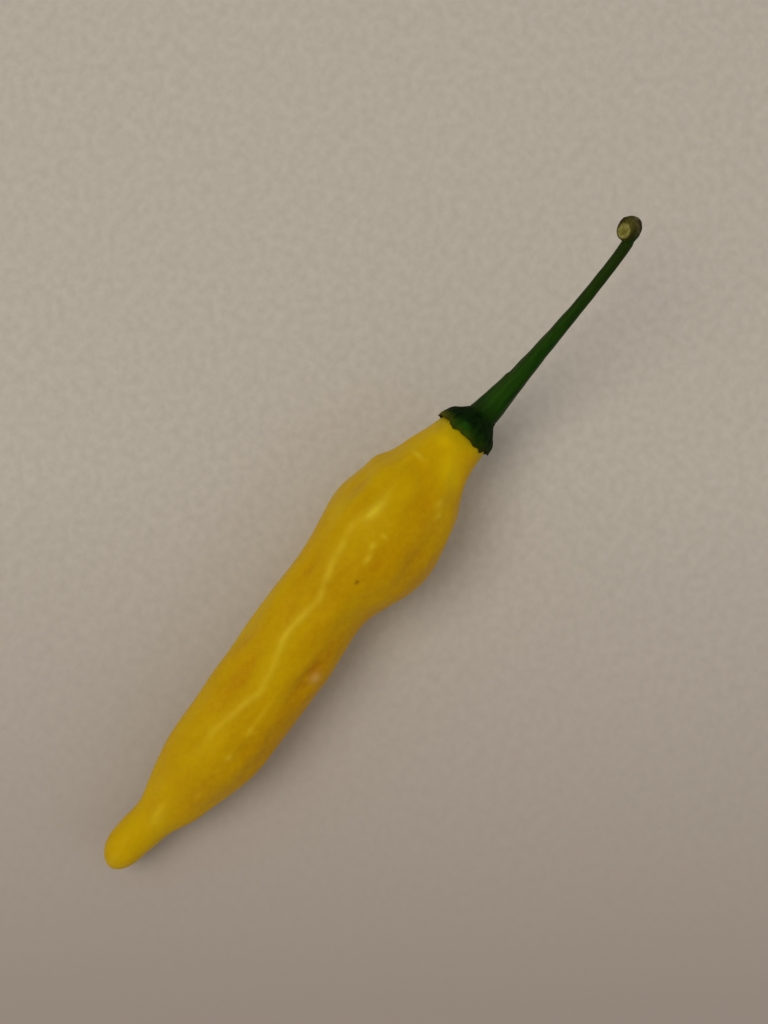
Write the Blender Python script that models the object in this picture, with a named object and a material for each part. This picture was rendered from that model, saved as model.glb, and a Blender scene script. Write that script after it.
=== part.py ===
"""A yellow chilli pepper as picked, lying on its side: the pod, its calyx and its stem."""

import math

import bmesh
import bpy
import numpy as np

MM = 0.001

# Every size below is in millimetres. x runs along the pod from its tip to the stem,
# y points to the pod's left flank, and z points up from the surface it lies on.
COLLECTION_NAME = "chilli_pepper"

POD_LENGTH = 79.2
TIP_DOME_LENGTH = 4.0
NECK_DOME_LENGTH = 3.4
POD_SEGMENTS = 40
POD_RINGS = 72
SECTION_SQUARENESS = 2.15  # 2 is an ellipse, and more is a fuller section
END_CROWDING = 0.6  # how far the rings crowd towards the two rounded ends

# The pod's outline: x, right flank, left flank, underside, top.
POD_OUTLINE = (
    (0.0, -2.4, 2.8, 1.5, 6.9),
    (3.5, -2.4, 3.1, 1.4, 7.0),
    (6.4, -3.0, 3.1, 1.3, 7.1),
    (9.4, -3.5, 2.8, 1.2, 7.5),
    (11.4, -4.2, 3.1, 1.0, 8.0),
    (13.4, -4.9, 3.6, 0.8, 8.7),
    (16.4, -5.8, 4.7, 0.5, 9.8),
    (19.4, -6.7, 5.3, 0.2, 11.0),
    (22.3, -7.3, 5.5, 0.0, 11.8),
    (27.0, -7.3, 5.7, -0.2, 12.2),
    (31.9, -7.2, 6.3, -0.2, 12.3),
    (35.8, -6.9, 6.6, 0.0, 12.4),
    (40.6, -6.9, 6.8, 0.2, 12.4),
    (44.4, -6.3, 7.1, 0.5, 12.5),
    (49.2, -6.0, 7.0, 0.5, 13.0),
    (52.1, -6.8, 7.2, 0.3, 14.0),
    (54.9, -7.9, 7.7, 0.0, 15.0),
    (58.8, -8.4, 8.4, -0.2, 16.0),
    (61.6, -8.4, 8.3, -0.2, 16.0),
    (64.4, -7.8, 7.7, 0.0, 15.4),
    (67.3, -7.0, 7.2, 0.6, 14.5),
    (69.2, -6.0, 6.1, 1.4, 13.8),
    (71.1, -4.9, 5.6, 2.6, 13.2),
    (73.0, -4.3, 5.0, 3.6, 12.8),
    (76.1, -4.15, 4.0, 4.4, 12.4),
    (79.2, -4.1, 3.8, 4.4, 12.3),
)

# The calyx clasps the neck's dome. Its shell thickens from the margin to the crown.
SEATING_GAP = 0.3
CALYX_MARGIN_X = 76.8
CALYX_MARGIN_THICKNESS = 0.3
CALYX_CROWN_THICKNESS = 1.3
COLLAR_START = 0.6  # the share of the way to the crown where its flat collar begins
CALYX_SEGMENTS = 40
CALYX_RINGS = 22
TOOTH_COUNT = 5
TOOTH_LENGTH = 0.9
TOOTH_SHARPNESS = 3
FIRST_TOOTH_ANGLE = math.radians(117)  # from the left flank, over the top

# The stem's centre line and radius, from the crown to its swollen broken end.
STEM_ROUTE = (
    (81.3, -0.4, 8.5, 2.10),
    (82.3, -0.4, 8.6, 1.85),
    (83.6, -0.6, 9.2, 1.60),
    (88.6, -0.9, 11.0, 1.20),
    (93.5, -1.1, 12.8, 0.95),
    (98.3, -1.1, 14.7, 0.76),
    (102.9, -1.1, 16.6, 0.70),
    (105.9, -1.0, 17.9, 0.70),
    (107.4, -0.7, 18.5, 0.95),
    (108.6, 0.0, 19.2, 1.40),
    (109.5, 0.5, 19.7, 1.45),
    (110.3, 0.8, 20.1, 0.80),
)
STEM_POINTS = 44
STEM_BEVEL_RESOLUTION = 4


def smooth_curve(rows):
    """Return a function of the first column that runs smoothly through the other columns."""
    table = np.array(rows, dtype=float)
    knots = table[:, 0]
    values = table[:, 1:]
    slopes = np.gradient(values, knots, axis=0)

    def at(x):
        i = int(np.clip(np.searchsorted(knots, x) - 1, 0, len(knots) - 2))
        span = knots[i + 1] - knots[i]
        t = (x - knots[i]) / span
        start = (1 + 2 * t) * (1 - t) ** 2 * values[i] + t * (1 - t) ** 2 * span * slopes[i]
        end = t * t * (3 - 2 * t) * values[i + 1] - t * t * (1 - t) * span * slopes[i + 1]
        return start + end

    return at


pod_outline = smooth_curve(POD_OUTLINE)


def pod_section(x):
    """Centre and half sizes, across and up, of the pod's full section at x."""
    right, left, bottom, top = pod_outline(x)
    return (left + right) / 2, (top + bottom) / 2, (left - right) / 2, (top - bottom) / 2


def dome(distance, length):
    """How wide a rounded end is, from 0 at its pole to 1 at the dome's full length."""
    reach = min(max(distance / length, 0.0), 1.0)
    return math.sqrt(1 - (1 - reach) ** 2)


def superellipse(angle):
    """A unit section that is slightly fuller than a circle."""
    power = 2 / SECTION_SQUARENESS
    across = math.copysign(abs(math.cos(angle)) ** power, math.cos(angle))
    up = math.copysign(abs(math.sin(angle)) ** power, math.sin(angle))
    return across, up


def pod_point(along, angle):
    """A point of the pod's skin: along runs from 0 at the tip to 1 at the neck's end."""
    crowding = END_CROWDING * math.sin(2 * math.pi * along) / (2 * math.pi)
    x = POD_LENGTH * (along - crowding)
    centre_y, centre_z, half_width, half_height = pod_section(x)
    width = dome(x, TIP_DOME_LENGTH) * dome(POD_LENGTH - x, NECK_DOME_LENGTH)
    across, up = superellipse(angle)
    y = centre_y + half_width * width * across
    z = centre_z + half_height * width * up
    return x, y, max(z, 0.0)


def neck_point(latitude, angle, offset):
    """A point at a distance outside the dome that ends the pod's neck."""
    start = POD_LENGTH - NECK_DOME_LENGTH
    centre_y, centre_z, half_width, half_height = pod_section(start)
    radii = np.array((NECK_DOME_LENGTH, half_width, half_height))
    across, up = superellipse(angle)
    spot = np.array((math.sin(latitude), math.cos(latitude) * across, math.cos(latitude) * up))
    outward = spot / radii
    outward /= np.linalg.norm(outward)
    return np.array((start, centre_y, centre_z)) + spot * radii + outward * offset


def calyx_point(along, angle):
    """A point of the calyx: along runs over the outside to the margin, then back inside."""
    outside = along <= 0.5
    towards_crown = abs(along - 0.5) * 2
    tooth = (0.5 + 0.5 * math.cos(TOOTH_COUNT * (angle - FIRST_TOOTH_ANGLE))) ** TOOTH_SHARPNESS
    margin_x = CALYX_MARGIN_X - TOOTH_LENGTH * tooth
    margin = math.asin((margin_x - POD_LENGTH + NECK_DOME_LENGTH) / NECK_DOME_LENGTH)
    latitude = margin + (math.pi / 2 - margin) * towards_crown
    growth = CALYX_CROWN_THICKNESS - CALYX_MARGIN_THICKNESS
    thickness = CALYX_MARGIN_THICKNESS + growth * math.sin(towards_crown * math.pi / 2)
    offset = SEATING_GAP + (thickness if outside else 0.0)
    point = neck_point(latitude, angle, offset)
    if outside and towards_crown > COLLAR_START:
        point[0] = POD_LENGTH + SEATING_GAP + CALYX_CROWN_THICKNESS
    return point


def reshaped_sphere(name, segments, rings, place):
    """A UV sphere whose poles lie along x, with every vertex put where place says."""
    mesh = bpy.data.meshes.new(name)
    shape = bmesh.new()
    bmesh.ops.create_uvsphere(shape, u_segments=segments, v_segments=rings, radius=1.0)
    for vertex in shape.verts:
        along = math.acos(min(max(vertex.co.z, -1.0), 1.0)) / math.pi
        angle = math.atan2(vertex.co.y, vertex.co.x)
        vertex.co = [value * MM for value in place(along, angle)]
    if shape.calc_volume(signed=True) < 0:
        bmesh.ops.reverse_faces(shape, faces=shape.faces)
    shape.to_mesh(mesh)
    shape.free()
    mesh.shade_smooth()
    return bpy.data.objects.new(name, mesh)


def skin_material(name, colour, roughness):
    material = bpy.data.materials.new(name)
    material.use_nodes = True
    shader = material.node_tree.nodes["Principled BSDF"]
    shader.inputs["Base Color"].default_value = (*colour, 1.0)
    shader.inputs["Roughness"].default_value = roughness
    shader.inputs["Metallic"].default_value = 0.0
    return material


def make_pod():
    pod = reshaped_sphere("pod", POD_SEGMENTS, POD_RINGS, pod_point)
    pod.data.materials.append(skin_material("pod_skin", (0.72, 0.44, 0.01), 0.35))
    return pod


def make_calyx():
    calyx = reshaped_sphere("calyx", CALYX_SEGMENTS, CALYX_RINGS, calyx_point)
    calyx.data.materials.append(skin_material("calyx_green", (0.012, 0.05, 0.008), 0.55))
    return calyx


def make_stem():
    """A tapering tube along a smooth line through the route's points."""
    curve = bpy.data.curves.new("stem", "CURVE")
    curve.dimensions = "3D"
    curve.bevel_depth = MM
    curve.bevel_resolution = STEM_BEVEL_RESOLUTION
    curve.use_fill_caps = True
    spline = curve.splines.new("POLY")
    spline.points.add(STEM_POINTS - 1)
    route = smooth_curve([(i, *row) for i, row in enumerate(STEM_ROUTE)])
    for i, point in enumerate(spline.points):
        x, y, z, radius = route(i * (len(STEM_ROUTE) - 1) / (STEM_POINTS - 1))
        point.co = (x * MM, y * MM, z * MM, 1.0)
        point.radius = radius
    spline.use_smooth = True
    stem = bpy.data.objects.new("stem", curve)
    curve.materials.append(skin_material("stem_green", (0.015, 0.06, 0.008), 0.5))
    return stem


def main():
    for thing in list(bpy.data.objects):
        bpy.data.objects.remove(thing)
    collection = bpy.data.collections.new(COLLECTION_NAME)
    bpy.context.scene.collection.children.link(collection)

    parts = [make_pod(), make_calyx(), make_stem()]
    for part in parts:
        collection.objects.link(part)
    bpy.context.view_layer.update()

    # The origin is at the middle of the whole chilli's length and width, on the surface.
    corners = np.array([corner for part in parts for corner in part.bound_box])
    middle = (corners.min(axis=0) + corners.max(axis=0)) / 2
    base = bpy.data.objects.new("rest_point", None)
    collection.objects.link(base)
    base.location = (-middle[0], -middle[1], 0.0)
    for part in parts:
        part.parent = base


main()
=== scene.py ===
"""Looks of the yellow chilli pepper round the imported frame: skin, calyx, stem, light, camera."""

import math

import bpy
import numpy as np
from mathutils import Matrix, Vector
from mathutils.bvhtree import BVHTree


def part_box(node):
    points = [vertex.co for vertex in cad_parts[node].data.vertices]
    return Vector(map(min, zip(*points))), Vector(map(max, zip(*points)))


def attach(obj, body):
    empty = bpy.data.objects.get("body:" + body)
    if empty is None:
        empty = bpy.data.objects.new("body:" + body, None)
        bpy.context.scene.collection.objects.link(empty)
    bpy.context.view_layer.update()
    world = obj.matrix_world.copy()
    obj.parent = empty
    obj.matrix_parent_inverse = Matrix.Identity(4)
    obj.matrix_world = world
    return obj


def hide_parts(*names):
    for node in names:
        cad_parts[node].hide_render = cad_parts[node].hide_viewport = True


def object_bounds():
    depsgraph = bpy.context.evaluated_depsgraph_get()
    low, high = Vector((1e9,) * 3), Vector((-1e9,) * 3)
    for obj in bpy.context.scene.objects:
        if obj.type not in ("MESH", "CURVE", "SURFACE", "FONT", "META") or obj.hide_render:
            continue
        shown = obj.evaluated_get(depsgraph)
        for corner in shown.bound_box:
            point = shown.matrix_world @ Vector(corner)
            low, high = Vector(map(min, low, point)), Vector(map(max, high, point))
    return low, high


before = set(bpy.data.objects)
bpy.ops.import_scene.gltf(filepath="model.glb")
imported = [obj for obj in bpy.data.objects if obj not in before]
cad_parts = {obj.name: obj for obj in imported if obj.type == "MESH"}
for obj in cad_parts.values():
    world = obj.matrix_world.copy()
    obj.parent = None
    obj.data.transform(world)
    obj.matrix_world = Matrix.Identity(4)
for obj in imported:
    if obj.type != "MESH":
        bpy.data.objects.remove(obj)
cad_low, cad_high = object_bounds()

# Sizes are in millimetres, and those of lamps and floor in metres. A feature's x is counted
# from the pod's tip, its y from the middle of the chilli's whole width, and its turn in degrees
# round the pod's own axis, from 0 at the left flank (+Y) over 90 at the top to 180.
MM = 0.001
TIP_X = cad_low.x / MM
TOTAL_LENGTH = (cad_high.x - cad_low.x) / MM

# Camera: straight above, turned so that the chilli lies from lower left to upper right.
CAMERA_TURN = math.radians(51)
CAMERA_HEIGHT = 150.0
FOCUS_HEIGHT = 8.0
FIELD_HEIGHT = 1.2482 * TOTAL_LENGTH
VIEW_CENTRE_X = 0.5605 * TOTAL_LENGTH
VIEW_CENTRE_Y = 1.63
SENSOR = 36.0

# Light: a broad soft lamp from the picture's left, a dim one across from it, and a warm room.
KEY_AZIMUTH = math.radians(112)
KEY_ELEVATION = math.radians(62)
KEY_DISTANCE = 1.0
KEY_SIZE = 0.70
KEY_POWER = 3.65
LAMP_COLOUR = (1.0, 0.90, 0.76)
FILL_AZIMUTH = math.radians(-68)
FILL_ELEVATION = math.radians(28)
FILL_DISTANCE = 0.9
FILL_SIZE = 0.70
FILL_POWER = 0.80
ROOM_COLOUR = (1.0, 0.93, 0.84)
ROOM_STRENGTH = 0.35
FLOOR_SIZE = 3.0
FLOOR_COLOUR = (0.655, 0.632, 0.598)
FLOOR_SPECKLE = (0.585, 0.562, 0.528)
# Painted shade: the floor darkens towards the bottom of the picture, where the light falls off.
FLOOR_PAINTED_SHADE_COLOUR = (0.430, 0.384, 0.366)
FLOOR_PAINTED_SHADE_SPAN = (-64.0, 12.0)  # painted shade: mm up the picture where it is darkest, and where lightest

# Pod mesh
POD_RINGS = 360
POD_AROUND = 256
END_CROWDING = 0.85
SMOOTHING_ALONG = 14
SMOOTHING_AROUND = 60
SKIN_SEED = 11
SKIN_INSET = 0.12  # how far the skin lies inside the CAD pod, to leave room for its relief
SKIN_STRETCH = (0.42, 1.0, 1.0)  # the skin's ripples are longer along the pod than across it
FOLDS_START_X = (4, 16)
FOLDS_END_X = (78, 71)
RIPENESS = 0.38
RIPER_AND_SHADED_TO_RIGHT = 0.055  # a millimetre; the right flank's orange is partly riper skin and partly painted shade
TIP_DOME = 4.6  # the length of the evenly rounded tip
TIP_BLUNTNESS = 0.6  # 0.5 is a round dome, and more is more pointed

# The sinuous crest on top of the pod: x, y, height.
CREST = (
    (20.0, 1.0, 0.00),
    (24.1, 0.9, 0.14),
    (25.8, 1.0, 0.22),
    (27.7, 0.6, 0.24),
    (29.8, 0.2, 0.25),
    (31.8, -0.2, 0.28),
    (33.6, -0.6, 0.26),
    (35.2, -0.3, 0.20),
    (36.9, 0.1, 0.18),
    (39.0, 0.8, 0.22),
    (41.2, 1.4, 0.28),
    (43.4, 1.4, 0.28),
    (45.5, 1.2, 0.28),
    (47.4, 1.0, 0.30),
    (48.7, 1.2, 0.32),
    (50.0, 1.8, 0.34),
    (51.5, 2.3, 0.34),
    (52.9, 2.8, 0.34),
    (55.0, 3.1, 0.32),
    (56.4, 3.4, 0.28),
    (57.9, 3.6, 0.34),
    (59.6, 3.2, 0.36),
    (61.1, 2.8, 0.36),
    (63.1, 2.6, 0.20),
    (66.5, 2.9, 0.00),
)
CREST_WIDTH = 0.56
CREST_TOP = 0.34  # the height at which the crest is palest; its pale line is partly the skin's own colour and partly a painted highlight
CREST_RISE = 0.45  # how much of the crest's height stands out, and the rest is colour
CREST_UNEVENNESS = 0.35
# The shallow trough to the left of the crest: place, width, depth as a share of the crest.
TROUGH = (1.9, 1.1, 0.30)

# Dents (negative) and swellings on the upper side: x, y, reach along, reach across, height.
TOP_SWELLS = (
    (34.0, 2.7, 4.2, 1.5, -0.56),
    (49.9, 4.7, 3.4, 1.2, -0.34),
    (63.2, 4.2, 2.4, 1.0, -0.30),
    (38.6, 6.0, 4.0, 1.3, -0.24),
    (62.4, 6.7, 2.4, 1.2, -0.30),
    (66.0, 5.8, 1.8, 1.4, 0.24),
    (44.5, 5.6, 5.0, 1.0, 0.12),
    (43.5, 3.3, 3.0, 1.1, -0.12),
    (56.0, -0.5, 0.9, 0.45, 0.10),
    (57.8, 0.1, 0.8, 0.45, 0.12),
    (59.8, -0.4, 0.5, 0.60, 0.10),
    (66.5, -1.1, 1.5, 1.8, -0.16),
    (67.4, -3.3, 0.9, 0.60, 0.14),
    (66.1, -4.2, 0.8, 0.55, 0.12),
    (69.4, 1.6, 1.2, 1.5, -0.12),
    (67.3, 1.2, 1.2, 1.2, 0.08),
    (70.7, 2.8, 0.35, 1.0, 0.14),
    (69.0, -2.6, 1.4, 0.9, 0.12),
    (71.5, -1.7, 1.4, 0.9, 0.16),
    (73.4, -0.6, 1.2, 0.9, 0.10),
    (74.6, 1.2, 1.0, 1.3, 0.14),
    (59.6, -5.1, 1.8, 1.3, -0.24),
    (57.2, -1.8, 2.4, 0.9, -0.12),
    (40.0, -4.5, 5.0, 0.8, -0.32),
    (39.2, -5.2, 0.80, 0.40, 0.16),
    (40.0, -6.1, 6.0, 0.7, 0.16),
    (33.2, -2.7, 2.6, 0.40, 0.08),
    (27.6, -2.9, 3.0, 0.40, 0.09),
    (24.2, -2.8, 0.7, 0.50, 0.10),
    (22.0, 1.6, 1.5, 0.7, -0.16),
    (26.0, -3.9, 1.4, 0.9, -0.14),
    (11.3, -0.4, 1.9, 0.75, 0.13),
    (50.5, -3.6, 3.6, 1.5, -0.14),
    (29.0, 3.8, 3.0, 0.7, 0.12),
)
# Painted highlights: paler spots where glints of light fall on small bumps and on the crest's end:
# x, y, reach along, reach across, share.
PAINTED_HIGHLIGHT_SPOTS = (
    (10.6, -0.6, 1.6, 0.90, 0.6),
    (12.0, -0.1, 1.6, 0.40, 0.5),
    (2.0, 0.6, 2.0, 0.60, 0.3),
    (16.9, -2.9, 0.9, 0.40, 0.4),
    (21.6, -2.8, 0.5, 0.30, 0.4),
    (24.1, -2.9, 0.5, 0.40, 1.1),
    (28.6, -2.9, 0.7, 0.40, 0.7),
    (31.0, -2.7, 2.2, 0.30, 0.4),
    (56.0, -0.6, 0.7, 0.35, 1.2),
    (57.7, 0.0, 0.6, 0.40, 1.3),
    (59.6, -0.4, 0.3, 0.50, 1.1),
    (61.7, 2.6, 1.6, 0.75, 0.8),
    (67.4, -3.3, 0.7, 0.45, 1.0),
    (66.1, -4.2, 0.6, 0.40, 0.9),
    (70.7, 2.8, 0.3, 0.95, 0.9),
)
# Painted shade: darker, more orange patches in and beside the dents, in the same form.
PAINTED_SHADE_SPOTS = (
    (33.6, 2.7, 2.2, 1.0, 0.50),
    (32.0, 2.4, 5.0, 3.4, 0.40),
    (44.0, 3.3, 2.6, 1.8, 0.30),
    (55.5, -2.6, 3.6, 2.0, 0.30),
    (30.5, 2.7, 4.5, 1.1, 0.35),
    (38.0, 3.1, 6.5, 1.5, 0.55),
    (22.0, 1.6, 1.5, 0.7, 0.30),
    (36.6, 5.7, 3.0, 1.0, 0.50),
    (26.0, -3.9, 1.4, 0.8, 0.30),
    (15.5, -3.0, 1.2, 0.8, 0.25),
    (49.8, 4.7, 2.4, 0.7, 0.50),
    (46.8, 4.1, 2.2, 0.9, 0.30),
    (62.6, 6.6, 1.9, 1.2, 0.60),
    (60.5, 4.6, 3.6, 0.7, 0.40),
    (66.6, -1.0, 1.4, 2.0, 0.32),
    (69.4, 1.8, 1.2, 1.7, 0.28),
    (59.6, -5.1, 1.9, 1.4, 0.45),
    (57.0, -1.6, 3.0, 1.2, 0.25),
    (43.0, -1.4, 3.0, 1.0, 0.25),
)
# Lemon patches, most of them on the neck: partly the neck's own lemon skin, partly painted light
# that brightens the neck and a few bumps.
LEMON_AND_PAINTED_LIGHT_SPOTS = (
    (14.5, 1.0, 2.6, 2.6, 0.4),
    (66.0, 1.1, 2.6, 1.5, 0.6),
    (67.2, -4.2, 1.5, 1.0, 0.4),
    (70.4, -3.0, 1.8, 1.2, 0.8),
    (71.6, -1.6, 1.5, 1.2, 0.9),
    (73.0, -0.6, 1.4, 1.2, 0.8),
    (74.4, 1.3, 1.1, 1.6, 1.0),
)
# A brown scar, the tan spot in it, in the same form, and the place of a dark speck.
SCAR = ((40.0, -4.6, 5.2, 1.0, 1.0),)
TAN_SPOT = ((39.2, -5.2, 0.80, 0.40, 1.0),)
SPECK = (52.8, -1.36)
SPECK_SIZE = 0.22
GREEN_NECK_X = (74.2, 76.6)  # where the neck starts to turn green, and where it is greenest; its darker olive is partly painted shade under the calyx's margin
# Dents and swellings on the flanks and the lower side: x, turn, reach along, reach round, height.
LOW_SWELLS = (
    (13.0, 8, 2.6, 1.8, 0.20),
    (67.4, 12, 1.5, 1.6, 0.24),
    (46.0, 175, 4.0, 1.8, -0.25),
    (71.4, 150, 2.2, 1.5, 0.24),
    (52.0, 215, 5.0, 1.8, -0.35),
    (35.0, 205, 6.0, 1.5, -0.35),
    (60.0, 310, 5.0, 2.0, -0.35),
    (26.0, 320, 5.0, 1.5, -0.30),
    (44.0, 335, 6.0, 1.4, -0.30),
)

# Calyx mesh
CALYX_AROUND = 240
CALYX_OUTSIDE_RINGS = 72
CALYX_INSIDE_RINGS = 26
CALYX_INSIDE_SHARES = (0.985, 0.30)
CALYX_THICKNESS = 0.30
CALYX_CROWN_THICKNESS = 0.12
CALYX_SEED = 5
# The calyx's outside from its crown to its margin: share of the way, x, radius, and how far
# the section lies to the left.
CALYX_PROFILE = (
    (0.00, 80.60, 0.00, 0.00),
    (0.14, 80.61, 1.86, 0.00),
    (0.19, 80.52, 2.06, 0.06),
    (0.25, 80.28, 2.20, 0.18),
    (0.33, 79.95, 2.42, 0.28),
    (0.43, 79.58, 2.74, 0.34),
    (0.56, 79.08, 3.16, 0.36),
    (0.70, 78.42, 3.58, 0.20),
    (0.85, 77.55, 3.98, 0.03),
    (1.00, 76.50, 4.19, 0.00),
)
MARGIN_LIFT = 0.48  # how much shorter the cap is on both flanks than on top
MARGIN_RADIUS = 4.3
MARGIN_RAGGEDNESS = 0.10
RIB_WIDTH = 9.0  # degrees to either side of a tooth's middle
RIB_HEIGHT = 0.16
# The margin's teeth: turn, length, half width in degrees, how far the tip stands off.
TEETH = (
    (7, 0.36, 3, 0.22),
    (66, 0.30, 7, 0.04),
    (104, 0.16, 8, 0.00),
    (122, 0.42, 14, 0.00),
    (138, 0.74, 7, 0.00),
    (175, 0.36, 8, 0.12),
    (232, 0.80, 9, 0.10),
    (301, 0.65, 8, 0.12),
)

# Stem mesh
STEM_AROUND = 72
STEM_SEED = 8
STEM_STEP = 0.14
STEM_THINNING_X = (101, 82)  # where the stem is thin, and where it is thick
FLUTE_COUNT = 5
FLUTE_START = 0.9
FLUTE_TWIST = 0.02  # radians a millimetre
FLUTE_HEIGHTS = (0.015, 0.055)  # all along the stalk, and added towards its thick end
FIBRE_HEIGHT = 0.02
CRUST_HEIGHT = 0.035
# A raised rib on the left flank: its height, where it starts and where it ends in a small kink.
RIB_RISE = 0.13
RIB_START_X = (80.5, 82.5)
RIB_END_X = (87.1, 86.4)
CRUST_X = (107.9, 109.6)  # where the stem's green gives way to the knob's dry crust
# The stem's centre line from inside the calyx to where it bends: x, y, z, radius.
STEM_ROUTE = (
    (80.1, -0.48, 8.45, 2.10),
    (80.8, -0.60, 8.50, 2.03),
    (81.8, -0.72, 8.72, 1.90),
    (83.6, -0.84, 9.25, 1.66),
    (86.1, -0.96, 10.10, 1.41),
    (88.6, -1.01, 11.00, 1.24),
    (91.1, -1.06, 11.90, 1.09),
    (93.5, -1.12, 12.80, 0.99),
    (95.9, -1.16, 13.75, 0.90),
    (98.3, -1.18, 14.70, 0.82),
    (100.6, -1.18, 15.60, 0.78),
    (102.9, -1.15, 16.60, 0.75),
    (105.1, -1.08, 17.50, 0.73),
    (106.4, -1.00, 18.05, 0.73),
    (107.4, -0.92, 18.50, 0.73),
)
# The stem ends in a swollen elbow, fanned round a crease, that faces up and to the left.
BREAK_NORMAL = (-0.45, 0.55, 0.70)
# Elbow sections: degrees turned, size outward from the crease, share of it sideways.
ELBOW = (
    (0, 1.46, 1.00),
    (12, 1.53, 1.00),
    (25, 1.67, 1.00),
    (40, 1.95, 0.98),
    (55, 2.46, 0.95),
    (70, 3.06, 0.92),
    (84, 3.32, 0.90),
    (96, 3.14, 0.91),
)
ELBOW_STEP = 2.0
ELBOW_DRIFT = 0.78  # how far the elbow moves sideways by its last section
# The broken end's face: height above the last section, width, shift towards the crease.
BREAK_FACE = (
    (0.16, 2.72, 0.10),
    (0.28, 2.40, 0.22),
    (0.32, 2.10, 0.32),
    (0.28, 1.86, 0.40),
    (0.20, 1.70, 0.45),
    (0.18, 1.44, 0.50),
    (0.22, 1.14, 0.54),
    (0.20, 0.84, 0.57),
    (0.12, 0.62, 0.58),
    (0.09, 0.30, 0.58),
    (0.09, 0.00, 0.58),
)

# Colours laid over the ground colour of each material, in this order: mark, share, colour.
POD_TINTS = (
    # lemon: partly lemon skin, partly painted light on the neck and a few bumps
    ("lemon_and_painted_light", 0.6, (0.76, 0.55, 0.001)),
    # pale: the crest's line, partly its own colour and partly a painted highlight, and the painted
    # highlight spots
    ("pale", 0.46, (0.80, 0.62, 0.03)),
    # green: the neck's greener skin, its darker olive partly painted shade under the calyx's
    # margin
    ("green", 0.6, (0.42, 0.36, 0.002)),
)
SCAR_COLOUR = (0.38, 0.135, 0.003)
SCAR_TINTS = (
    ("tan", 0.75, (0.62, 0.38, 0.10)),
    ("speck", 1.0, (0.12, 0.045, 0.004)),
)
CALYX_TINTS = (
    ("collar", 1.0, (0.006, 0.026, 0.001)),
    ("rib", 0.25, (0.010, 0.036, 0.002)),
    ("patch", 0.8, (0.016, 0.080, 0.005)),
    ("lit", 0.45, (0.075, 0.100, 0.004)),
    ("left", 0.75, (0.125, 0.105, 0.008)),
)
DRIED_COLOUR = (0.030, 0.024, 0.006)
STEM_TINTS = (
    # band: a painted highlight, lighter green along the stalk's side that faces up and towards the
    # lamp
    ("lit_band", 0.5, (0.016, 0.068, 0.002)),
    ("flank", 0.5, (0.028, 0.036, 0.004)),
    ("end", 0.7, (0.012, 0.024, 0.002)),
    ("base", 1.0, (0.004, 0.017, 0.001)),
)
BREAK_TINTS = (
    ("pith", 0.75, (0.125, 0.115, 0.008)),
    ("rim", 1.0, (0.020, 0.014, 0.004)),
)
GREEN_TINT = (0.7, 1.0, 0.4, 1.0)  # of the shine on the calyx and the stem


# ---------------------------------------------------------------- numbers

def smooth_curve(rows):
    """Return a function that runs smoothly through rows of (position, values...)."""
    table = np.array(rows, dtype=float)
    knots, values = table[:, 0], table[:, 1:]
    slopes = np.gradient(values, knots, axis=0)

    def at(where):
        where = np.asarray(where, dtype=float)
        i = np.clip(np.searchsorted(knots, where) - 1, 0, len(knots) - 2)
        span = (knots[i + 1] - knots[i])[..., None]
        t = np.clip((where - knots[i])[..., None] / span, 0, 1)
        start = (1 + 2 * t) * (1 - t) ** 2 * values[i] + t * (1 - t) ** 2 * span * slopes[i]
        end = t * t * (3 - 2 * t) * values[i + 1] - t * t * (1 - t) * span * slopes[i + 1]
        return start + end

    return at


def step(low, high, value):
    """0 below low, 1 above high, and smooth between."""
    t = np.clip((value - low) / (high - low), 0, 1)
    return t * t * (3 - 2 * t)


def hill(distance):
    """A smooth bump, 1 at distance 0 and near 0 past distance 2."""
    return np.exp(-distance * distance)


def ripples(points, size, seed, waves=28):
    """Even, smooth random relief of about -1 to 1, with features of the given size."""
    chance = np.random.default_rng(seed)
    total = np.zeros(points.shape[:-1])
    for _ in range(waves):
        direction = chance.normal(size=3)
        direction /= np.linalg.norm(direction)
        length = size * chance.uniform(0.7, 1.6)
        phase = chance.uniform(0, 2 * math.pi)
        total += np.cos(points @ direction * (2 * math.pi / length) + phase)
    return total / math.sqrt(waves)


def angle_between(turns, turn):
    """Degrees from one turn to others, from -180 to 180."""
    return (turns - turn + 180) % 360 - 180


def unit(vectors):
    return vectors / np.maximum(np.linalg.norm(vectors, axis=-1, keepdims=True), 1e-12)


# ---------------------------------------------------------------- meshes

def ring_mesh(name, rings, marks):
    """A closed mesh through rings of points in mm, whose first and last rings are poles."""
    count, around = rings.shape[:2]
    inner = rings[1:-1].reshape(-1, 3)
    points = np.vstack([rings[0].mean(axis=0), inner, rings[-1].mean(axis=0)])
    last = len(points) - 1
    faces, places = [], []
    for i in range(count - 1):
        for j in range(around):
            k = (j + 1) % around
            low, high = 1 + (i - 1) * around, 1 + i * around
            if i == 0:
                faces.append((0, high + k, high + j))
                places.append(((i, j + 0.5), (i + 1, j + 1), (i + 1, j)))
            elif i == count - 2:
                faces.append((low + j, low + k, last))
                places.append(((i, j), (i, j + 1), (i + 1, j + 0.5)))
            else:
                faces.append((low + j, low + k, high + k, high + j))
                places.append(((i, j), (i, j + 1), (i + 1, j + 1), (i + 1, j)))
    mesh = bpy.data.meshes.new(name)
    mesh.from_pydata((points * MM).tolist(), [], faces)
    corners = np.array([c for place in places for c in place], dtype=float)
    corners /= (count - 1, around)
    layer = mesh.uv_layers.new(name="skin")
    layer.data.foreach_set("uv", corners.astype(np.float32).ravel())
    for label, values in marks.items():
        flat = np.concatenate([[values[0].mean()], values[1:-1].ravel(), [values[-1].mean()]])
        attribute = mesh.attributes.new(label, "FLOAT", "POINT")
        attribute.data.foreach_set("value", flat.astype(np.float32))
    mesh.shade_smooth()
    piece = bpy.data.objects.new(name, mesh)
    bpy.context.scene.collection.objects.link(piece)
    return piece


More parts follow.
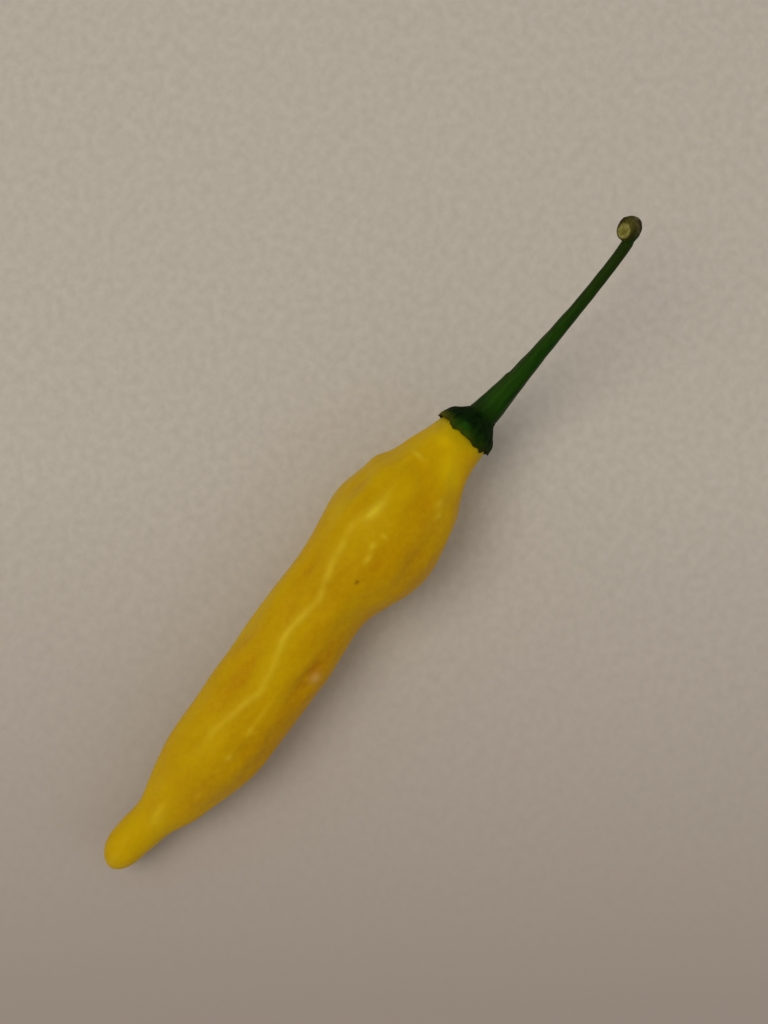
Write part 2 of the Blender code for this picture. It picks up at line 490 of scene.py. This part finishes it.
def grid_normals(rings):
    """Outward unit normals of a grid of rings that closes round."""
    wrapped = np.concatenate([rings[:, -1:], rings, rings[:, :1]], axis=1)
    around = (wrapped[:, 2:] - wrapped[:, :-2]) / 2
    along = np.gradient(rings, axis=0)
    return unit(np.cross(around, along))


def cad_surface(node):
    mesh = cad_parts[node].data
    corners = [v.co / MM for v in mesh.vertices]
    return BVHTree.FromPolygons(corners, [tuple(p.vertices) for p in mesh.polygons])


# ---------------------------------------------------------------- pod

def blur(values, passes, axis, round_it=False, odd=False):
    """Repeated small averaging along one axis."""
    for _ in range(passes):
        if round_it:
            before, after = np.roll(values, 1, axis), np.roll(values, -1, axis)
        else:
            sign = -1 if odd else 1
            before = np.concatenate([sign * values[1:2], values[:-1]], axis=axis)
            after = np.concatenate([values[1:], sign * values[-2:-1]], axis=axis)
        values = values * 0.5 + (before + after) * 0.25
    return values


def pod_grid():
    """Rings of the CAD pod's surface, with its facets smoothed away."""
    tree = cad_surface("pod")
    low, high = (np.array(corner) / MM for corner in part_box("pod"))
    share = np.linspace(0, 1, POD_RINGS)
    x = low[0] + (high[0] - low[0]) * (
        share * (1 - END_CROWDING) + END_CROWDING * (1 - np.cos(math.pi * share)) / 2
    )
    angles = np.linspace(0, 2 * math.pi, POD_AROUND, endpoint=False)
    rays = [Vector((0, math.cos(a), math.sin(a))) for a in angles]
    centres = np.zeros((POD_RINGS, 2))
    reach = np.zeros((POD_RINGS, POD_AROUND))
    for i in range(1, POD_RINGS - 1):
        centre = Vector((x[i], 0.0, centres[i - 1, 1] or (low[2] + high[2]) * 0.25))
        for _ in range(3):
            hits = [tree.ray_cast(centre, rays[k * POD_AROUND // 4])[0] for k in range(4)]
            if None in hits:
                break
            centre.y = (hits[0].y + hits[2].y) / 2
            centre.z = (hits[1].z + hits[3].z) / 2
        centres[i] = centre.y, centre.z
        for j, ray in enumerate(rays):
            distance = tree.ray_cast(centre, ray)[3]
            reach[i, j] = distance if distance is not None else reach[i - 1, j]
    centres[0], centres[-1] = centres[1], centres[-2]
    reach = blur(reach, SMOOTHING_AROUND, 1, round_it=True)
    reach = blur(reach, SMOOTHING_ALONG, 0, odd=True)
    reach[0] = reach[-1] = 0
    centres = blur(centres, SMOOTHING_ALONG * 2, 0)
    # The tip is rounded off evenly, where the CAD pod has its last few facets.
    edge = int(np.searchsorted(x, x[0] + TIP_DOME))
    depth = (x[:edge] - x[0]) / TIP_DOME
    reach[:edge] = reach[edge] * (depth * (2 - depth))[:, None] ** TIP_BLUNTNESS
    rings = np.empty((POD_RINGS, POD_AROUND, 3))
    rings[..., 0] = x[:, None]
    rings[..., 1] = centres[:, :1] + reach * np.cos(angles)
    rings[..., 2] = centres[:, 1:] + reach * np.sin(angles)
    return rings, reach, np.degrees(angles)


def spots(rows, x, y):
    """The sum of smooth round hills, each with its place, reaches and height."""
    total = np.zeros_like(x)
    for spot_x, spot_y, along, across, height in rows:
        total += height * hill(np.hypot((x - spot_x) / along, (y - spot_y) / across))
    return total


def pod_crest(rings, x, y, top):
    """Heights of the uneven crest and of the trough beside it."""
    crest = smooth_curve(CREST)(x)
    slope = np.gradient(crest[:, 0, 0], x[:, 0])[:, None]
    beside = (y - crest[..., 0]) / np.sqrt(1 + slope * slope)
    unevenness = 1 + CREST_UNEVENNESS * ripples(rings, 3.0, SKIN_SEED + 3)
    height = crest[..., 1] * top
    place, width, depth = TROUGH
    line = hill(beside / CREST_WIDTH) * height * unevenness
    return line, depth * hill((beside - place) / width) * height


def pod_relief(rings, x, y, top, turns, reach):
    """How far the dents, swellings and fine folds stand out of the smooth pod."""
    relief = spots(TOP_SWELLS, x, y) * top
    for spot_x, turn, along, around, height in LOW_SWELLS:
        arc = np.radians(angle_between(turns, turn)) * reach
        relief += height * hill(np.hypot((x - spot_x) / along, arc / around))
    body = step(*FOLDS_START_X, x) * step(*FOLDS_END_X, x)
    stretched = rings * SKIN_STRETCH
    relief += (0.05 + 0.10 * body) * ripples(stretched, 5.0, SKIN_SEED)
    relief += 0.030 * body * ripples(stretched, 1.9, SKIN_SEED + 1)
    relief += 0.008 * ripples(rings, 0.9, SKIN_SEED + 2)
    return relief


def pod_marks(rings, x, y, top, crest):
    """Where each of the skin's colours lies."""
    # The skin is more orange down the right flank than on the left, tip and neck, partly as riper
    # skin and partly as painted shade on the flank turned from the lamp; the painted shade spots
    # darken the dents.
    ripeness_and_shade = RIPENESS - RIPER_AND_SHADED_TO_RIGHT * y
    ripeness_and_shade += 0.22 * ripples(rings * SKIN_STRETCH, 7.0, SKIN_SEED + 5)
    ripeness_and_shade -= 0.25 * step(14, 4, x) + 0.15 * step(69, 73, x)
    ripeness_and_shade += spots(PAINTED_SHADE_SPOTS, x, y) * top
    # The speck lies on top only, so the lower side counts as far away from it.
    speck_away = np.hypot(x - SPECK[0], y - SPECK[1]) + 5 * (1 - top)
    return {
        # The pale mark: the crest's line, partly own colour and partly painted highlight, plus the
        # painted highlight spots.
        "pale": crest / CREST_TOP + spots(PAINTED_HIGHLIGHT_SPOTS, x, y) * top,
        "lemon_and_painted_light": spots(LEMON_AND_PAINTED_LIGHT_SPOTS, x, y) * top,
        "ripe_and_shade": np.clip(ripeness_and_shade, 0, 1),
        "scar": spots(SCAR, x, y) * top,
        "tan": spots(TAN_SPOT, x, y) * top,
        "speck": hill(speck_away / SPECK_SIZE),
        # Greener towards the calyx, and darker there partly as painted shade under its margin.
        "green": step(*GREEN_NECK_X, x + 0.4 * ripples(rings, 2.0, SKIN_SEED + 6)),
    }


def make_pod():
    rings, reach, turns = pod_grid()
    normals = grid_normals(rings)
    normals[0] = (-1, 0, 0)
    normals[-1] = (1, 0, 0)
    x = rings[..., 0] - TIP_X
    y = rings[..., 1]
    top = step(0.0, 0.5, normals[..., 2])
    crest, trough = pod_crest(rings, x, y, top)
    relief = CREST_RISE * (crest - trough) + pod_relief(rings, x, y, top, turns, reach)
    shaped = rings + normals * (relief - SKIN_INSET * step(0, 4, x))[..., None]
    shaped[..., 2] = np.maximum(shaped[..., 2], 0.0)
    piece = ring_mesh("pod_skin_surface", shaped, pod_marks(rings, x, y, top, crest))
    piece.data.materials.append(pod_material())
    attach(piece, "root")
    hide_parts("pod")


# ---------------------------------------------------------------- calyx

def calyx_teeth(turns):
    """Round the margin: how far the teeth reach, how far they stand off, and their ribs."""
    tooth = np.zeros(CALYX_AROUND)
    flare = np.zeros(CALYX_AROUND)
    rib = np.zeros(CALYX_AROUND)
    for turn, length, width, stand in TEETH:
        away = np.abs(angle_between(turns, turn))
        point = np.clip(1 - away / (2.2 * width), 0, 1) ** 1.4
        tooth = np.maximum(tooth, length * point)
        flare = np.maximum(flare, stand * point)
        rib = np.maximum(rib, hill(away / RIB_WIDTH))
    return tooth, flare, rib


def calyx_marks(turns, share, tooth, rib, to_margin):
    """Where each of the calyx's colours lies."""
    share = share[:, None]
    everywhere = np.ones((len(share), CALYX_AROUND))
    tooth_tips = tooth * to_margin ** 3 / 0.6
    return {
        "edge": np.clip(step(0.95, 1.0, share) + tooth_tips, 0, 1) * everywhere,
        "rib": rib * everywhere,
        "brim": step(0.68, 0.94, share) * (1 - 0.5 * hill((turns - 150) / 40)),
        "collar": step(0.36, 0.22, share) * everywhere,
        "patch": hill((turns - 80) / 13) * hill((share - 0.86) / 0.10),
        "lit": step(0.84, 1.0, share) * hill((turns - 88) / 38),
        "left": hill(angle_between(turns, 15) / 30) * step(0.78, 1.0, share),
    }


def make_calyx():
    """The toothed green cap on the neck, a closed shell that thins to a dried margin."""
    turns = np.linspace(0, 360, CALYX_AROUND, endpoint=False)
    angles = np.radians(turns)
    outside = np.linspace(0, 1, CALYX_OUTSIDE_RINGS)
    share = np.concatenate([outside, np.linspace(*CALYX_INSIDE_SHARES, CALYX_INSIDE_RINGS)])
    inside = (np.arange(len(share)) >= CALYX_OUTSIDE_RINGS)[:, None]
    low, high = (np.array(corner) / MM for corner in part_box("calyx"))
    neck = (low + high) / 2
    profile = smooth_curve(CALYX_PROFILE)(share)
    x = np.repeat(profile[:, :1], CALYX_AROUND, axis=1)
    radius = np.repeat(profile[:, 1:2], CALYX_AROUND, axis=1)
    to_margin = step(0.35, 1.0, share)[:, None] * np.ones_like(x)

    tooth, flare, rib = calyx_teeth(turns)
    circle = np.stack([np.cos(angles), np.sin(angles), 0 * angles], -1)
    ragged = MARGIN_RAGGEDNESS * ripples(circle * MARGIN_RADIUS, 1.3, CALYX_SEED)
    x = x + MARGIN_LIFT * np.cos(angles) ** 2 * to_margin ** 2
    x = x - (tooth + ragged) * to_margin ** 3
    radius = radius + flare * to_margin ** 6
    rib_along = step(0.33, 0.6, share) * step(1.0, 0.75, share)
    radius += RIB_HEIGHT * rib * rib_along[:, None]

    # The crown lies round the stem, and the margin round the neck.
    stem_y, stem_z = STEM_ROUTE[1][1:3]
    middle_y = neck[1] * to_margin + (1 - to_margin) * stem_y + profile[:, 2:]
    middle_z = neck[2] * to_margin + (1 - to_margin) * stem_z
    radius = np.where(inside, np.maximum(radius - CALYX_THICKNESS, 0), radius)
    x = np.where(inside, x - CALYX_CROWN_THICKNESS * (1 - to_margin), x)
    x[-1] = x[-1].mean()
    radius[-1] = 0
    across = middle_y + radius * np.cos(angles)
    up = middle_z + radius * np.sin(angles)
    rings = np.stack([x + TIP_X, across, up], -1)
    # The rings run from the crown back to the margin, so they are turned to face outward.
    rings = rings[:, ::-1]
    outer = ~inside * step(0.2, 0.35, share)[:, None]
    relief = 0.05 * outer * ripples(rings, 1.1, CALYX_SEED + 1)
    rings = rings + grid_normals(rings) * relief[..., None]

    marks = calyx_marks(turns[::-1], share, tooth[::-1], rib[::-1], to_margin)
    piece = ring_mesh("calyx_cap", rings, marks)
    piece.data.materials.append(calyx_material())
    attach(piece, "root")
    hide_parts("calyx")


# ---------------------------------------------------------------- stem

def ring_round(centre, outward, side, half_out, half_side):
    """An elliptical ring of points in the plane of two directions."""
    turn = np.linspace(0, 2 * math.pi, STEM_AROUND, endpoint=False)
    across = half_out * np.outer(np.cos(turn), outward)
    return centre + across + half_side * np.outer(np.sin(turn), side)


def stem_rings():
    """Rings along the stem, round its swollen elbow and over its broken end.

    Also the number of rings before the elbow, and the middle of the elbow's last section.
    """
    route = np.array(STEM_ROUTE)
    gaps = np.linalg.norm(np.diff(route[:, :3], axis=0), axis=1)
    lengths = np.concatenate([[0], np.cumsum(gaps)])
    run = np.linspace(0, lengths[-1], int(lengths[-1] / STEM_STEP))
    line = smooth_curve(np.column_stack([lengths, route]))(run)
    centres = line[:, :3] + (TIP_X, 0, 0)
    tangents = unit(np.gradient(centres, axis=0))
    end_tangent = tangents[-1]
    normal = unit(np.array(BREAK_NORMAL))
    inward = unit(normal - (normal @ end_tangent) * end_tangent)
    rings = [np.repeat(centres[:1], STEM_AROUND, axis=0)]
    for centre, tangent, radius in zip(centres, tangents, line[:, 3]):
        outward = unit(-inward + (inward @ tangent) * tangent)
        side = np.cross(tangent, outward)
        rings.append(ring_round(centre, outward, side, radius, radius))

    side = np.cross(end_tangent, -inward)
    crease = centres[-1] + inward * (ELBOW[0][1] / 2)
    last_turn = ELBOW[-1][0]
    elbow = smooth_curve(ELBOW)
    for degrees in np.arange(ELBOW_STEP, last_turn + 1, ELBOW_STEP):
        size, share = elbow(degrees)
        a = math.radians(degrees)
        outward = math.sin(a) * end_tangent - math.cos(a) * inward
        centre = crease + outward * size / 2 + side * ELBOW_DRIFT * degrees / last_turn
        rings.append(ring_round(centre, outward, side, size / 2, size / 2 * share))
    for height, size, shift in BREAK_FACE:
        middle = centre - outward * shift - np.cross(side, outward) * height
        half = max(size / 2, 1e-4)
        rings.append(ring_round(middle, outward, side, half, half))
    return np.array(rings), len(centres) + 1, centre


def stem_relief(rings, normals, x, straight):
    """Flutes along the stalk, a rib on its left flank and the crust of its swollen end."""
    count = len(rings)
    position = np.arange(count)
    on_stalk = (position < straight)[:, None]
    thick = step(*STEM_THINNING_X, x)
    turn = np.linspace(0, 2 * math.pi, STEM_AROUND, endpoint=False)
    flutes = np.cos(FLUTE_COUNT * turn + FLUTE_START + FLUTE_TWIST * x)
    relief = (FLUTE_HEIGHTS[0] + FLUTE_HEIGHTS[1] * thick) * flutes * on_stalk
    on_left = step(0.75, 1.0, normals[..., 1])
    relief = relief + RIB_RISE * on_left * step(*RIB_END_X, x) * step(*RIB_START_X, x)
    off_face = step(count - 14, count - 24, position)[:, None]
    relief += FIBRE_HEIGHT * ripples(rings * (0.35, 1.0, 1.0), 1.2, STEM_SEED) * off_face
    swollen = step(straight - 2, straight + 14, position)
    swollen = (swollen * step(count - 8, count - 12, position))[:, None]
    relief += CRUST_HEIGHT * swollen * ripples(rings, 0.8, STEM_SEED + 1)
    relief[0] = relief[-1] = 0
    return relief


def stem_marks(rings, normals, x, knob_middle):
    """Where each of the stem's colours lies."""
    everywhere = np.ones(rings.shape[:2])
    face_start = len(rings) - len(BREAK_FACE)
    from_face = (np.arange(len(rings)) - face_start)[:, None] * everywhere
    beside_knob = np.abs(rings[..., 1] - knob_middle[1])
    # Painted highlight: lighter green where the stalk faces up and to the left, towards the lamp.
    towards_lamp = normals[..., 2] + 0.35 * normals[..., 1]
    return {
        "lit_band": step(0.55, 1.0, towards_lamp) * step(*STEM_THINNING_X, x),
        "flank": step(0.35, 1.0, normals[..., 1]) * step(79, 91, x),
        "end": step(90, 107, x) * everywhere,
        "base": 0.8 * step(83.6, 80.4, x) * everywhere,
        "knob": step(*CRUST_X, rings[..., 0] - TIP_X),
        "fresh": step(-4, 2, from_face),
        "rim": hill((from_face - 0.5) / 2.0) * step(0.4, 1.1, beside_knob),
        "face": step(2.2, 4.0, from_face),
        "pith": step(6.6, 8.2, from_face),
    }


def make_stem():
    rings, straight, knob_middle = stem_rings()
    normals = grid_normals(rings)
    x = rings[..., 0].mean(axis=1)[:, None] - TIP_X
    rings = rings + normals * stem_relief(rings, normals, x, straight)[..., None]
    piece = ring_mesh("stem_stalk", rings, stem_marks(rings, normals, x, knob_middle))
    piece.data.materials.append(stem_material())
    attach(piece, "root")
    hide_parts("stem")


# ---------------------------------------------------------------- materials

class Nodes:
    """A small helper that builds a material's node tree."""

    def __init__(self, name):
        self.material = bpy.data.materials.new(name)
        self.material.use_nodes = True
        self.tree = self.material.node_tree
        self.shader = self.tree.nodes["Principled BSDF"]

    def add(self, kind, **settings):
        node = self.tree.nodes.new(kind)
        for key, value in settings.items():
            setattr(node, key, value)
        return node

    def link(self, source, target):
        self.tree.links.new(source, target)

    def mark(self, name):
        return self.add("ShaderNodeAttribute", attribute_name=name).outputs["Fac"]

    def place(self, stretch=(1.0, 1.0, 1.0)):
        """Object coordinates in millimetres, stretched."""
        mapping = self.add("ShaderNodeMapping")
        mapping.inputs["Scale"].default_value = [1 / MM * s for s in stretch]
        self.link(self.add("ShaderNodeTexCoord").outputs["Object"], mapping.inputs["Vector"])
        return mapping.outputs["Vector"]

    def noise(self, size, detail=3.0, stretch=(1.0, 1.0, 1.0)):
        node = self.add("ShaderNodeTexNoise")
        node.inputs["Scale"].default_value = 1 / size
        node.inputs["Detail"].default_value = detail
        self.link(self.place(stretch), node.inputs["Vector"])
        return node.outputs["Fac"]

    def levels(self, source, low, high, to_low=0.0, to_high=1.0):
        node = self.add("ShaderNodeMapRange", clamp=True)
        names = ("From Min", "From Max", "To Min", "To Max")
        for name, value in zip(names, (low, high, to_low, to_high)):
            node.inputs[name].default_value = value
        self.link(source, node.inputs["Value"])
        return node.outputs["Result"]

    def math(self, operation, first, second):
        node = self.add("ShaderNodeMath", operation=operation)
        for socket, value in zip(node.inputs, (first, second)):
            if isinstance(value, (int, float)):
                socket.default_value = value
            else:
                self.link(value, socket)
        return node.outputs[0]

    def mix(self, share, first, second):
        node = self.add("ShaderNodeMix", data_type="RGBA")
        sockets = (node.inputs[0], node.inputs[6], node.inputs[7])
        for socket, value in zip(sockets, (share, first, second)):
            if isinstance(value, tuple):
                socket.default_value = (*value, 1.0)
            elif isinstance(value, float):
                socket.default_value = value
            else:
                self.link(value, socket)
        return node.outputs[2]

    def tint(self, colour, tints):
        """Colours laid over one another, each where its mark says."""
        for label, share, tone in tints:
            colour = self.mix(self.math("MULTIPLY", self.mark(label), share), colour, tone)
        return colour

    def bump(self, height, distance, strength=1.0, below=None):
        node = self.add("ShaderNodeBump")
        node.inputs["Strength"].default_value = strength
        node.inputs["Distance"].default_value = distance * MM
        self.link(height, node.inputs["Height"])
        if below is not None:
            self.link(below, node.inputs["Normal"])
        return node.outputs["Normal"]


def pod_material():
    """Waxy yellow skin: orange zones, partly painted shade, a paler crest and spots, partly
    painted highlights, lemon patches, partly painted light, pores, a brown scar and a dark speck.
    """
    n = Nodes("pod_skin_material")
    mottle = n.levels(n.noise(2.2, 4, (0.5, 1, 1)), 0.35, 0.65)
    fine = n.levels(n.noise(0.8, 4), 0.35, 0.65)
    # The ripe mark: riper skin and painted shade, more orange on the right flank and in the dents.
    colour = n.mix(n.mark("ripe_and_shade"), (0.63, 0.42, 0.0005), (0.54, 0.275, 0.0005))
    colour = n.mix(n.math("MULTIPLY", mottle, 0.30), colour, (0.50, 0.27, 0.0005))
    colour = n.mix(n.math("MULTIPLY", fine, 0.22), colour, (0.72, 0.50, 0.001))
    colour = n.tint(colour, POD_TINTS)
    patchy = n.levels(n.noise(0.9, 3), 0.35, 0.6)
    scar = n.math("MULTIPLY", n.mark("scar"), n.math("ADD", n.math("MULTIPLY", patchy, 0.5), 0.5))
    colour = n.mix(n.math("MULTIPLY", scar, 0.75), colour, SCAR_COLOUR)
    colour = n.tint(colour, SCAR_TINTS)
    n.link(colour, n.shader.inputs["Base Color"])
    n.link(n.levels(n.noise(1.4, 3), 0.3, 0.7, 0.44, 0.58), n.shader.inputs["Roughness"])
    pores = n.bump(n.noise(0.35, 2), 0.02, 0.35)
    n.link(n.bump(n.noise(1.1, 3, (0.6, 1, 1)), 0.12, 0.40, pores), n.shader.inputs["Normal"])
    n.shader.inputs["Subsurface Weight"].default_value = 0.10
    n.shader.inputs["Subsurface Radius"].default_value = (1.0, 0.45, 0.05)
    n.shader.inputs["Subsurface Scale"].default_value = 1.0 * MM
    n.shader.inputs["Specular IOR Level"].default_value = 0.26
    n.shader.inputs["Specular Tint"].default_value = (1.0, 0.80, 0.12, 1.0)
    return n.material


def calyx_material():
    """Dark, slightly leathery green with paler ribs and a dried brown margin."""
    n = Nodes("calyx_material")
    blotch = n.levels(n.noise(0.8, 4), 0.38, 0.62)
    brim = n.mix(blotch, (0.0045, 0.018, 0.001), (0.018, 0.048, 0.002))
    crown = n.mix(blotch, (0.0010, 0.006, 0.001), (0.0040, 0.017, 0.003))
    colour = n.mix(n.mark("brim"), crown, brim)
    colour = n.tint(colour, CALYX_TINTS)
    edge = n.math("ADD", n.mark("edge"), n.math("MULTIPLY", n.noise(0.5, 2), 0.5))
    dried = n.levels(edge, 0.85, 1.3)
    colour = n.mix(n.math("MULTIPLY", dried, 0.6), colour, DRIED_COLOUR)
    n.link(colour, n.shader.inputs["Base Color"])
    n.link(n.levels(blotch, 0.0, 1.0, 0.62, 0.78), n.shader.inputs["Roughness"])
    n.link(n.bump(n.noise(0.45, 3), 0.10, 0.6), n.shader.inputs["Normal"])
    n.shader.inputs["Specular IOR Level"].default_value = 0.05
    n.shader.inputs["Specular Tint"].default_value = GREEN_TINT
    return n.material


def stem_material():
    """Ribbed green stalk, olive towards a brown swollen end with a pale broken face."""
    n = Nodes("stem_material")
    strands = n.levels(n.noise(0.55, 3, (0.08, 1, 1)), 0.35, 0.65)
    colour = n.mix(strands, (0.004, 0.029, 0.001), (0.009, 0.045, 0.001))
    colour = n.tint(colour, STEM_TINTS)
    blotch = n.levels(n.noise(0.7, 4), 0.38, 0.62)
    crust = n.mix(blotch, (0.020, 0.016, 0.005), (0.130, 0.105, 0.058))
    colour = n.mix(n.mark("knob"), colour, crust)
    grain = n.levels(n.noise(0.25, 3), 0.35, 0.65)
    olive = n.mix(grain, (0.050, 0.045, 0.006), (0.105, 0.095, 0.018))
    colour = n.mix(n.mark("fresh"), colour, olive)
    pale = n.mix(grain, (0.170, 0.165, 0.032), (0.330, 0.300, 0.100))
    colour = n.mix(n.mark("face"), colour, pale)
    colour = n.tint(colour, BREAK_TINTS)
    n.link(colour, n.shader.inputs["Base Color"])
    n.link(n.levels(n.mark("knob"), 0.0, 1.0, 0.50, 0.7), n.shader.inputs["Roughness"])
    fibres = n.bump(n.noise(0.30, 3, (0.08, 1, 1)), 0.05, 0.5)
    n.link(n.bump(n.noise(0.35, 3), 0.05, 0.35, fibres), n.shader.inputs["Normal"])
    n.shader.inputs["Specular IOR Level"].default_value = 0.12
    n.shader.inputs["Specular Tint"].default_value = GREEN_TINT
    return n.material


def floor_material():
    n = Nodes("floor_material")
    grain = n.levels(n.noise(1.3, 4), 0.3, 0.7)
    upward = n.add("ShaderNodeVectorMath", operation="DOT_PRODUCT")
    n.link(n.place(), upward.inputs[0])
    upward.inputs[1].default_value = (math.sin(CAMERA_TURN), math.cos(CAMERA_TURN), 0)
    # Painted shade: the floor is darker towards the bottom of the picture.
    painted_shade = n.levels(upward.outputs["Value"], *FLOOR_PAINTED_SHADE_SPAN, 1.0, 0.0)
    colour = n.mix(painted_shade, n.mix(grain, FLOOR_COLOUR, FLOOR_SPECKLE), FLOOR_PAINTED_SHADE_COLOUR)
    n.link(colour, n.shader.inputs["Base Color"])
    n.shader.inputs["Roughness"].default_value = 0.9
    n.shader.inputs["Specular IOR Level"].default_value = 0.1
    return n.material


# ---------------------------------------------------------------- stage

def make_floor():
    mesh = bpy.data.meshes.new("floor")
    half = FLOOR_SIZE / 2
    corners = [(-half, -half, 0), (half, -half, 0), (half, half, 0), (-half, half, 0)]
    mesh.from_pydata(corners, [], [(0, 1, 2, 3)])
    mesh.materials.append(floor_material())
    floor = bpy.data.objects.new("floor", mesh)
    bpy.context.scene.collection.objects.link(floor)


def aim(thing, place, target, up):
    """Put a camera or lamp at a place so that it looks at target, with up upward."""
    back = (place - target).normalized()
    right = up.cross(back).normalized()
    axes = Matrix((right, back.cross(right), back)).transposed()
    thing.matrix_world = Matrix.Translation(place) @ axes.to_4x4()


def make_camera():
    data = bpy.data.cameras.new("camera")
    data.sensor_width = SENSOR
    data.lens = SENSOR * CAMERA_HEIGHT / FIELD_HEIGHT
    data.clip_start = 0.005
    data.clip_end = 10.0
    camera = bpy.data.objects.new("camera", data)
    bpy.context.scene.collection.objects.link(camera)
    target = Vector((TIP_X + VIEW_CENTRE_X, VIEW_CENTRE_Y, FOCUS_HEIGHT)) * MM
    upward = Vector((math.sin(CAMERA_TURN), math.cos(CAMERA_TURN), 0))
    aim(camera, target + Vector((0, 0, CAMERA_HEIGHT * MM)), target, upward)
    bpy.context.scene.camera = camera


def make_lamp(name, azimuth, elevation, distance, size, power):
    data = bpy.data.lights.new(name, "AREA")
    data.shape = "DISK"
    data.size = size
    data.energy = power
    data.color = LAMP_COLOUR
    lamp = bpy.data.objects.new(name, data)
    bpy.context.scene.collection.objects.link(lamp)
    flat = Vector((math.cos(azimuth), math.sin(azimuth), 0)) * math.cos(elevation)
    place = (flat + Vector((0, 0, math.sin(elevation)))) * distance
    aim(lamp, place, Vector((0, 0, 0)), Vector((0, 0, 1)))


def make_lights():
    make_lamp("key", KEY_AZIMUTH, KEY_ELEVATION, KEY_DISTANCE, KEY_SIZE, KEY_POWER)
    make_lamp("fill", FILL_AZIMUTH, FILL_ELEVATION, FILL_DISTANCE, FILL_SIZE, FILL_POWER)
    world = bpy.data.worlds.new("room")
    world.use_nodes = True
    background = world.node_tree.nodes["Background"]
    background.inputs["Color"].default_value = (*ROOM_COLOUR, 1.0)
    background.inputs["Strength"].default_value = ROOM_STRENGTH
    bpy.context.scene.world = world
    bpy.context.scene.view_settings.view_transform = "Standard"


make_camera()
make_lights()
make_floor()
make_pod()
make_calyx()
make_stem()
